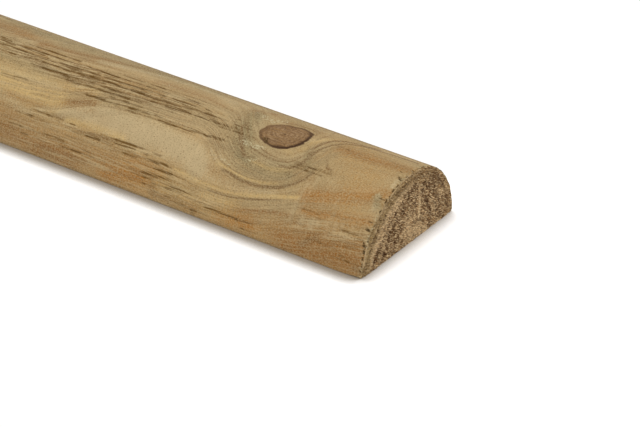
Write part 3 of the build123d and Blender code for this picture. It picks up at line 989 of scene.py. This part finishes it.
def relief_tree():
    """Cuts the torn grain, pits, saw marks and rough ends into the post, always inwards."""
    labels = dict.fromkeys(
        ("Torn Depth", "Cutter Depth", "Pit Depth", "Rim Depth", "End Depth", "Saw Depth", "Wear"), "Float"
    )
    tree, given = start_tree(
        "Weathered relief", {**labels, "Low": "Vector", "High": "Vector", "Material": "Material"}
    )
    marks = {
        name: add(tree, NAMED_ATTRIBUTE, name)
        for name in ("torn_dash", "cutter_mark", "pit", "sawn_flat", "rim", "end_dark", "end_pale")
    }
    vectors = {
        name: add(tree, NAMED_ATTRIBUTE, name, data_type="FLOAT_VECTOR")
        for name in ("grain_place", "inward", "endward", "worn")
    }
    place = add(tree, "GeometryNodeInputPosition")
    torn = pattern(tree, vectors["grain_place"], "patches")
    rows = torn_rows(tree, vectors["grain_place"], torn)
    ragged = pattern(tree, place, "ragged")
    saw_marks = pattern(tree, place, "saw_lines")
    combed = add(tree, TURN, {"Vector": place, "Angle": SAW_SLANT}, rotation_type="X_AXIS")
    fuzz = pattern(tree, combed, "fuzz")
    inwards = 0.0
    for mask, amount, depth in (
        (marks["torn_dash"], 1.0, given["Torn Depth"]),
        (rows, TORN_ROW_DEPTH, given["Torn Depth"]),
        (marks["cutter_mark"], 1.0, given["Cutter Depth"]),
        (marks["rim"], ragged, given["Rim Depth"]),
        (marks["pit"], 1.0, given["Pit Depth"]),
        (marks["sawn_flat"], saw_marks, given["Saw Depth"]),
    ):
        cut = add(tree, MULTIPLY, mask, amount)
        inwards = add(tree, MULTIPLY_ADD, cut, depth, inwards)
    hollow = add(tree, MULTIPLY_ADD, marks["end_pale"], END_PALE_ROUGHNESS, 1.0)
    hollow = add(tree, MULTIPLY_ADD, marks["end_dark"], END_DARK_ROUGHNESS, hollow)
    roughness = add(tree, MULTIPLY, fuzz, hollow)
    endwards = add(tree, MULTIPLY, roughness, given["End Depth"])
    side = add(tree, VECTOR_SCALE, {0: vectors["inward"], "Scale": inwards})
    front = add(tree, VECTOR_SCALE, {0: vectors["endward"], "Scale": endwards})
    wear = add(tree, VECTOR_SCALE, {0: vectors["worn"], "Scale": given["Wear"]})
    offset = add(tree, VECTOR_ADD, side, front)
    offset = add(tree, VECTOR_ADD, offset, wear)
    moved = add(tree, SET_POSITION, {"Geometry": given["Geometry"], "Offset": offset})
    end_tree(tree, keep_inside(tree, moved, given), given["Material"])
    return tree


def fibre_tree():
    """Scatters the fibres that the saw raised over the two ends, combed the way that it went."""
    tree, given = start_tree("Sawn fibres", {
        "Length": "Float", "Width": "Float", "Density": "Float", "Seed": "Int", "Low": "Vector",
        "High": "Vector", "Material": "Material",
    })
    bed = add(tree, NAMED_ATTRIBUTE, "fibre_bed")
    density = add(tree, MULTIPLY, given["Density"], bed)
    points = add(
        tree,
        "GeometryNodeDistributePointsOnFaces",
        {"Mesh": given["Geometry"], "Density": density, "Seed": given["Seed"]},
        distribute_method="RANDOM",
    )
    ball = add(tree, "GeometryNodeMeshIcoSphere", {"Radius": 0.5, "Subdivisions": 1})
    shape = add(tree, COMBINE, {"X": given["Width"], "Y": given["Length"], "Z": given["Width"]})
    sliver = add(tree, "GeometryNodeTransform", {"Geometry": ball, "Scale": shape})
    lowest, highest = FIBRE_SPREAD
    turn = add(
        tree,
        "FunctionNodeRandomValue",
        {
            "Min": (-SAW_SLANT - FIBRE_SWING, 0, -FIBRE_TILT),
            "Max": (-SAW_SLANT + FIBRE_SWING, 0, FIBRE_TILT),
            "Seed": given["Seed"],
        },
        data_type="FLOAT_VECTOR",
    )
    scale = add(
        tree,
        "FunctionNodeRandomValue",
        {"Min": lowest, "Max": highest, "Seed": FIBRE_SIZE_SEED},
        data_type="FLOAT_VECTOR",
    )
    laid = add(
        tree,
        "GeometryNodeInstanceOnPoints",
        {"Points": points, "Instance": sliver, "Rotation": turn, "Scale": scale},
    )
    tone = add(tree, "FunctionNodeRandomValue", {2: -1.0, 3: 1.0, "Seed": FIBRE_TONE_SEED}, output=1)
    toned = add(
        tree,
        "GeometryNodeStoreNamedAttribute",
        {"Geometry": laid, "Name": "fibre_tone", "Value": tone},
        data_type="FLOAT",
        domain="INSTANCE",
    )
    real = add(tree, "GeometryNodeRealizeInstances", {"Geometry": toned})
    end_tree(tree, keep_inside(tree, real, given), given["Material"])
    return tree


# Materials


def new_material(name):
    """A material with its shader, and the sockets that its pattern is drawn from."""
    material = bpy.data.materials.new(name)
    material.use_nodes = True
    tree = material.node_tree
    shader = next(n for n in tree.nodes if n.type == "BSDF_PRINCIPLED")
    place = add(tree, "ShaderNodeTexCoord", output="Object")
    return material, tree, shader, place


def read_marks(tree, names):
    """The numbers that were written on the points of the mesh, by name."""
    return {name: add(tree, ATTRIBUTE, output="Fac", attribute_name=name) for name in names}


def ring_lines(tree, place, grain, bend=0.0):
    """How brown the growth rings are at each place: 0 in the early wood, 1 at a ring's dark edge."""
    from_pith = add(tree, VECTOR_SUBTRACT, place, PITH)
    flat = add(tree, VECTOR_MULTIPLY, from_pith, (0, 1, 1))
    radius = add(tree, VECTOR_LENGTH, flat, output="Value")
    wander = pattern(tree, grain, "wander")
    depth = add(tree, MULTIPLY_ADD, wander, RING_WANDER, radius)
    depth = add(tree, ADD, depth, bend)
    number = add(tree, MULTIPLY, depth, 1 / RING_WIDTH)
    settings = {"W": number, "Scale": RING_UNEVEN_SCALE, "Detail": 1.0}
    uneven = add(tree, NOISE, settings, noise_dimensions="1D")
    number = add(tree, MULTIPLY_ADD, uneven, RING_UNEVENNESS, number)
    within = add(tree, MATH, number, operation="FRACT")
    darkening = add(tree, SMOOTH_RANGE, within, *LEVELS["ring_darkens"])
    edge = add(tree, SMOOTH_RANGE, within, *LEVELS["ring_ends"])
    return add(tree, MULTIPLY, darkening, edge)


def add_amounts(tree, marks, amounts):
    """Adds to the marks the amounts that follow one of them."""
    for name, (source, at_none, at_full) in amounts.items():
        marks[name] = add(tree, MAP_RANGE, marks[source], 0, 1, at_none, at_full)


def paint(tree, colours, marks, colour, layers):
    """Lays tints over a colour, each as thick as the product of its amounts, from 0 to 1."""
    for over, *amounts in layers:
        thickness, *others = (marks.get(amount, amount) for amount in amounts)
        for other in others:
            thickness = add(tree, MULTIPLY, thickness, other, use_clamp=True)
        tints = {6: colour, 7: tuple(getattr(colours, over))}
        colour = add(tree, MIX, {"Factor": thickness, **tints}, output=2, data_type="RGBA")
    return colour


def finish(tree, shader, marks, colour, roughness, relief, depth):
    """Gives a shader its colour and dullness, and a bump that adds up the heights of marks."""
    tree.links.new(colour, shader.inputs["Base Color"])
    shader.inputs["Roughness"].default_value = roughness
    shader.inputs["Specular IOR Level"].default_value = WOOD_GLOSS
    height = 0.0
    for name, amount in relief:
        height = add(tree, MULTIPLY_ADD, marks[name], amount, height)
    bump = add(tree, "ShaderNodeBump", {"Height": height, "Distance": depth, "Strength": BUMP_STRENGTH})
    tree.links.new(bump, shader.inputs["Normal"])


def far_knots(tree, back, grain):
    """Knots away from the near end: how near each place is to one, and the grain bent round them."""
    parts = add(tree, SEPARATE, back).node.outputs
    nearest, shift = NO_KNOT, 0.0
    for along, girth, half_length, half_width, slant in FAR_KNOTS:
        offset = add(tree, VECTOR_SUBTRACT, back, (along * MM, girth * MM, 0))
        unslanted = add(tree, TURN, {"Vector": offset, "Angle": radians(slant)}, rotation_type="Z_AXIS")
        scaled = add(tree, VECTOR_MULTIPLY, unslanted, (1 / (half_length * MM), 1 / (half_width * MM), 0))
        share = add(tree, VECTOR_LENGTH, scaled, output="Value")
        nearest = add(tree, MINIMUM, nearest, share)
        squared = add(tree, MULTIPLY, share, share)
        squared = add(tree, MAXIMUM, squared, 1.0)
        above = add(tree, SUBTRACT, parts["Y"], girth * MM)
        push = add(tree, DIVIDE, above, squared)
        shift = add(tree, MULTIPLY_ADD, push, -1.0, shift)
    up = add(tree, COMBINE, {"Y": shift})
    bent = add(tree, VECTOR_ADD, grain, up)
    return nearest, bent, shift


def treated_pine(colours):
    """Milled pressure-treated pine: dull khaki and brown bands along the grain, darkest where it tore."""
    material, tree, shader, place = new_material("treated_pine")
    marks = read_marks(tree, (*BACK_MARKS, "near_knot", "knot_dark_side", "rim", "sawn_flat"))
    back = add(tree, ATTRIBUTE, output="Vector", attribute_name="back_place")
    straight = add(tree, ATTRIBUTE, output="Vector", attribute_name="grain_place")
    far_share, grain, shift = far_knots(tree, back, straight)
    along = add(tree, SEPARATE, back)
    far = marks["far_wood"] = add(tree, SMOOTH_RANGE, along, *LEVELS["far_wood"])
    for name in GRAIN_PATTERNS:
        marks[name] = pattern(tree, grain, name)
    for name in BACK_PATTERNS:
        marks[name] = pattern(tree, back, name)
    marks["saw_lines"] = pattern(tree, place, "saw_lines")
    marks["rings"] = ring_lines(tree, place, grain, add(tree, MULTIPLY, shift, RING_BEND))
    round_side = add(tree, SUBTRACT, 1.0, marks["sawn_flat"])
    torn = add(tree, MULTIPLY, far, marks["patches"])
    torn = add(tree, MULTIPLY, torn, round_side)
    torn = marks["torn"] = add(tree, MAXIMUM, marks["torn_area"], torn)
    far_bend = add(tree, VECTOR_SUBTRACT, grain, straight)
    marks["rows"] = torn_rows(tree, add(tree, VECTOR_ADD, back, far_bend), torn)
    add_amounts(tree, marks, PINE_AMOUNTS)
    for name, (amount, low, high) in BROKEN_MARKS.items():
        broken = add(tree, MULTIPLY, marks[name], marks[amount])
        marks[name] = add(tree, SMOOTH_RANGE, broken, low, high)
    share = add(tree, MINIMUM, far_share, marks["near_knot"])
    wobble = add(tree, MULTIPLY_ADD, marks["blotches"], marks["swing"], share)
    marks["in_knot"] = add(tree, SMOOTH_RANGE, wobble, *LEVELS["knot"])
    off_bark = add(tree, SUBTRACT, wobble, BARK_PLACE)
    off_bark = add(tree, ABSOLUTE, off_bark)
    marks["bark"] = add(tree, SMOOTH_RANGE, off_bark, *LEVELS["bark"])
    ragged = add(tree, MULTIPLY_ADD, marks["blotches"], KNOT_RAGGEDNESS, marks["scratched"])
    knot_number = add(tree, MULTIPLY_ADD, share, KNOT_RINGS, ragged)
    marks["knot_rings"] = add(tree, PINGPONG, knot_number, 1.0)
    for name in ("knot_depth", "knot_pith"):
        marks[name] = add(tree, MAP_RANGE, share, *LEVELS[name])
    colour = paint(tree, colours, marks, tuple(colours.early), PINE_LAYERS)
    finish(tree, shader, marks, colour, BACK_ROUGHNESS, PINE_RELIEF, BACK_BUMP)
    return material


def sawn_end_grain(colours):
    """Rough-sawn pine end grain: woolly, dull, brown in its pits and pale on its raised fibres."""
    material, tree, shader, place = new_material("sawn_end_grain")
    marks = read_marks(tree, (*END_MARKS, "end_khaki", "fibre_tone"))
    marks["rings"] = ring_lines(tree, place, place)
    combed = add(tree, TURN, {"Vector": place, "Angle": SAW_SLANT}, rotation_type="X_AXIS")
    parts = add(tree, SEPARATE, place).node.outputs
    turn = add(tree, MATH, parts["Y"], parts["Z"], operation="ARCTAN2")
    turn = add(tree, MULTIPLY, turn, SECTION_MIDDLE)
    from_middle = add(tree, VECTOR_MULTIPLY, place, (0, 1, 1))
    reach = add(tree, VECTOR_LENGTH, from_middle, output="Value")
    rounded = add(tree, COMBINE, {"Y": turn, "Z": reach})
    marks["bands"] = pattern(tree, rounded, "bands")
    for name in ("wool", "pits", "end_clouds"):
        marks[name] = pattern(tree, combed, name)
    add_amounts(tree, marks, END_AMOUNTS)
    for name in ("raised", "sunk"):
        marks[name] = add(tree, MAP_RANGE, marks["fibre_tone"], *LEVELS[name])
    colour = paint(tree, colours, marks, tuple(colours.end_wood), END_LAYERS)
    finish(tree, shader, marks, colour, END_ROUGHNESS, END_RELIEF, END_BUMP)
    return material


def paint_ends(mesh):
    """Gives the faces of the two sawn ends the second material, and creases their rims."""
    at_end = read(mesh.attributes["sawn_end"].data, "value") > 0.5
    slots = [int(all(at_end[v] for v in face.vertices)) for face in mesh.polygons]
    mesh.polygons.foreach_set("material_index", slots)
    mesh.polygons.foreach_set("use_smooth", [True] * len(slots))
    mesh.set_sharp_from_angle(angle=SHARP_ANGLE)


def lay_out_map(mesh, sizes):
    """Lays the back, the flat face and the two ends side by side on one map, with no overlap."""
    corners = read(mesh.loops, "vertex_index", kind=np.int32)
    starts = read(mesh.polygons, "loop_start", kind=np.int32)
    owner = np.repeat(np.arange(len(starts)), np.diff(np.append(starts, len(corners))))
    x, y, z = read(mesh.vertices, "co", 3)[corners].T.astype(float)
    slots = read(mesh.polygons, "material_index", kind=np.int32)
    faces_down = read(mesh.polygons, "normal", 3)[:, 2] < FACES_DOWN
    middle = np.add.reduceat(x, starts) / np.diff(np.append(starts, len(corners)))
    half, radius = sizes.length / 2, sizes.pole_diameter / 2
    along = (half - x) / sizes.length
    split = MAP_SPLIT / sizes.length
    turn = np.arctan2(z + sizes.saw_kerf / 2, -y) / pi
    across, height = (y + radius) / (2 * radius), z / radius
    at_end, near = slots == 1, middle > 0
    on_near_back = middle > half - MAP_SPLIT
    layout = {
        "near_end": (at_end & near, across, height),
        "far_end": (at_end & ~near, across, height),
        "flat": (~at_end & faces_down, along, across),
        "near_back": (~at_end & ~faces_down & on_near_back, along / split, turn),
        "far_back": (~at_end & ~faces_down & ~on_near_back, (along - split) / (1 - split), turn),
    }
    uv = np.zeros((len(corners), 2))
    for name, (faces, u, v) in layout.items():
        (low_u, low_v), (high_u, high_v) = MAP_AREAS[name]
        chosen = faces[owner]
        uv[chosen, 0] = low_u + (high_u - low_u) * np.clip(u[chosen], 0, 1)
        uv[chosen, 1] = low_v + (high_v - low_v) * np.clip(v[chosen], 0, 1)
    mesh.uv_layers.new(name=MAP_NAME).data.foreach_set("uv", uv.astype(np.float32).ravel())


# Studio


def seen_rays(tree):
    """1 for the rays that show the background: seen by the camera, mirrored or let through."""
    path = add(tree, "ShaderNodeLightPath").node.outputs
    seen = add(tree, MAXIMUM, path["Is Camera Ray"], path["Is Glossy Ray"])
    return add(tree, MAXIMUM, seen, path["Is Transmission Ray"])


def lay_floor():
    """A wide floor of matt white paper, with no shine: for the camera, painted light brightens it near the
    post and a painted contact shadow darkens it where the post hides it.
    """
    mesh = bpy.data.meshes.new("studio_floor")
    s = FLOOR_SIZE / 2
    mesh.from_pydata([(-s, -s, 0), (s, -s, 0), (s, s, 0), (-s, s, 0)], [], [(0, 1, 2, 3)])
    floor = put("studio_floor", mesh)
    material = bpy.data.materials.new("matt_white_paper")
    material.use_nodes = True
    tree = material.node_tree
    tree.nodes.clear()
    # Painted contact shadow: how much of the floor the post hides, read by an occlusion test, darkens it for
    # the camera
    lean = add(tree, COMBINE, *CONTACT_LEAN)
    openness = add(
        tree,
        "ShaderNodeAmbientOcclusion",
        {"Distance": CONTACT_REACH, "Normal": lean},
        output="AO",
        samples=CONTACT_SAMPLES,
    )
    away = add(tree, MAP_RANGE, openness, CONTACT_OPEN, 1)
    # Painted light: the camera sees the floor brighter near the post than far from it
    place = add(tree, "ShaderNodeTexCoord", output="Object")
    side = add(tree, ABSOLUTE, add(tree, SEPARATE, place, output="Y"))
    low, high = SEEN_FADE
    near, far = SEEN_WHITE_AND_PAINTED_LIGHT
    plain = add(tree, MAP_RANGE, side, low, high, near, far)
    seen = add(tree, MIX, {"Factor": away, 6: PAINTED_CONTACT_SHADOW_TINT, 7: plain}, output=2, data_type="RGBA")
    white = add(tree, MIX, {"Factor": seen_rays(tree), 6: FLOOR_WHITE, 7: seen}, output=2, data_type="RGBA")
    matt = add(tree, "ShaderNodeBsdfDiffuse", {"Color": white})
    output = tree.nodes.new("ShaderNodeOutputMaterial")
    tree.links.new(matt, output.inputs["Surface"])
    mesh.materials.append(material)


def light_world():
    """White all round, so that the light is soft and the background is white."""
    world = bpy.data.worlds.new("studio_light")
    world.use_nodes = True
    tree = world.node_tree
    background = tree.nodes["Background"]
    background.inputs["Color"].default_value = (1, 1, 1, 1)
    strength = add(tree, MAP_RANGE, seen_rays(tree), 0, 1, WORLD_STRENGTH, 1.0)
    tree.links.new(strength, background.inputs["Strength"])
    bpy.context.scene.world = world


def light_lamps():
    """Soft lamps far away, aimed at the post."""
    for name, azimuth, elevation, strength, softness in LAMPS:
        lamp = bpy.data.lights.new(name, "SUN")
        lamp.energy = strength
        lamp.angle = radians(softness)
        put(name, lamp).matrix_world = turned(radians(azimuth), radians(elevation), 0).to_4x4()


def turned(azimuth, elevation, roll):
    """How a camera or a lamp is turned when it looks at the post from an azimuth and elevation."""
    back = Vector((sin(azimuth) * cos(elevation), -cos(azimuth) * cos(elevation), sin(elevation)))
    right = Vector((cos(azimuth), sin(azimuth), 0))
    up = back.cross(right)
    tilted_right = cos(roll) * right + sin(roll) * up
    tilted_up = cos(roll) * up - sin(roll) * right
    return Matrix((tilted_right, tilted_up, back)).transposed()


def set_camera():
    """The camera at the photograph's angle and distance."""
    data = bpy.data.cameras.new("photo_camera")
    data.sensor_width = SENSOR_WIDTH
    data.lens = LENS
    camera = put("photo_camera", data)
    near_end = Vector((POST_LENGTH / 2, 0, 0))
    camera.matrix_world = Matrix.Translation(near_end + CAMERA_FROM_NEAR_END) @ turned(
        CAMERA_AZIMUTH, CAMERA_ELEVATION, CAMERA_ROLL
    ).to_4x4()
    bpy.context.scene.camera = camera


# Operators


class TIMBER_OT_post(bpy.types.Operator):
    """Sweep the half-round section along the post, weather it and give it its wood"""

    bl_idname = "timber.post"
    bl_label = "Cut and weather the post"

    def execute(self, context):
        sizes, colours = context.scene.post_sizes, context.scene.wood_colours
        wood, end_wood = treated_pine(colours), sawn_end_grain(colours)
        rail = sweep_rail(sizes)
        section = {
            "Pole Diameter": sizes.pole_diameter, "Saw Kerf": sizes.saw_kerf,
            "Edge Radius": sizes.edge_radius, "Girth Lines": GIRTH_LINES, "Material": wood,
        }
        blank = grow(sweep_tree(), rail, section, "post_blank")
        map_marks(blank.data, sizes)
        relief = {
            "Torn Depth": sizes.torn_depth, "Cutter Depth": sizes.cutter_depth, "Pit Depth": sizes.pit_depth,
            "Rim Depth": sizes.rim_depth, "End Depth": sizes.end_depth, "Saw Depth": sizes.saw_depth,
            "Wear": sizes.wear, **post_box(sizes), "Material": wood,
        }
        post = grow(relief_tree(), blank, relief, "timber_post")
        for scrap in (rail, blank):
            bpy.data.objects.remove(scrap)
        post.data.materials.append(end_wood)
        paint_ends(post.data)
        lay_out_map(post.data, sizes)
        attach(post, CAD_BODY)
        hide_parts(CAD_NODE)
        return {"FINISHED"}


class TIMBER_OT_fibres(bpy.types.Operator):
    """Raise short fibres on the two sawn ends of the post"""

    bl_idname = "timber.fibres"
    bl_label = "Raise the fibres of the sawn ends"

    def execute(self, context):
        post = bpy.data.objects.get("timber_post")
        if post is None:
            raise RuntimeError("Cut the post first: there is no timber_post to raise fibres on")
        sizes = context.scene.post_sizes
        bed = put("fibre_bed", post.data)
        values = {
            "Length": sizes.fibre_length, "Width": sizes.fibre_width, "Density": sizes.fibres / MM**2,
            "Seed": FIBRE_SEED, **post_box(sizes), "Material": post.data.materials["sawn_end_grain"],
        }
        fibres = grow(fibre_tree(), bed, values, "sawn_fibres")
        bpy.data.objects.remove(bed)
        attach(fibres, CAD_BODY)
        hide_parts(CAD_NODE)
        return {"FINISHED"}


class TIMBER_OT_stage(bpy.types.Operator):
    """Lay a white floor with painted light and a painted contact shadow, light it softly and set the camera
    of the photograph
    """

    bl_idname = "timber.stage"
    bl_label = "Set the studio"

    def execute(self, context):
        lay_floor()
        light_world()
        light_lamps()
        set_camera()
        return {"FINISHED"}


class TIMBER_PT_panel(bpy.types.Panel):
    """The steps that make the post, with the sizes and colours that they use"""

    bl_idname = "TIMBER_PT_panel"
    bl_label = "Timber post"
    bl_space_type = "VIEW_3D"
    bl_region_type = "UI"
    bl_category = "Timber post"

    def draw(self, context):
        for group in (context.scene.post_sizes, context.scene.wood_colours):
            for name in group.__annotations__:
                self.layout.prop(group, name)
        for step in STEPS:
            self.layout.operator(step.bl_idname)


STEPS = (TIMBER_OT_post, TIMBER_OT_fibres, TIMBER_OT_stage)
CLASSES = (PostSizes, WoodColours, *STEPS, TIMBER_PT_panel)


def register():
    for cls in CLASSES:
        bpy.utils.register_class(cls)
    bpy.types.Scene.post_sizes = bpy.props.PointerProperty(type=PostSizes)
    bpy.types.Scene.wood_colours = bpy.props.PointerProperty(type=WoodColours)


def unregister():
    del bpy.types.Scene.post_sizes
    del bpy.types.Scene.wood_colours
    for cls in reversed(CLASSES):
        bpy.utils.unregister_class(cls)


def main():
    """Makes every piece in order."""
    register()
    bpy.context.scene.view_settings.view_transform = "Standard"
    bpy.ops.timber.post()
    bpy.ops.timber.fibres()
    bpy.ops.timber.stage()


if __name__ == "__main__":
    main()
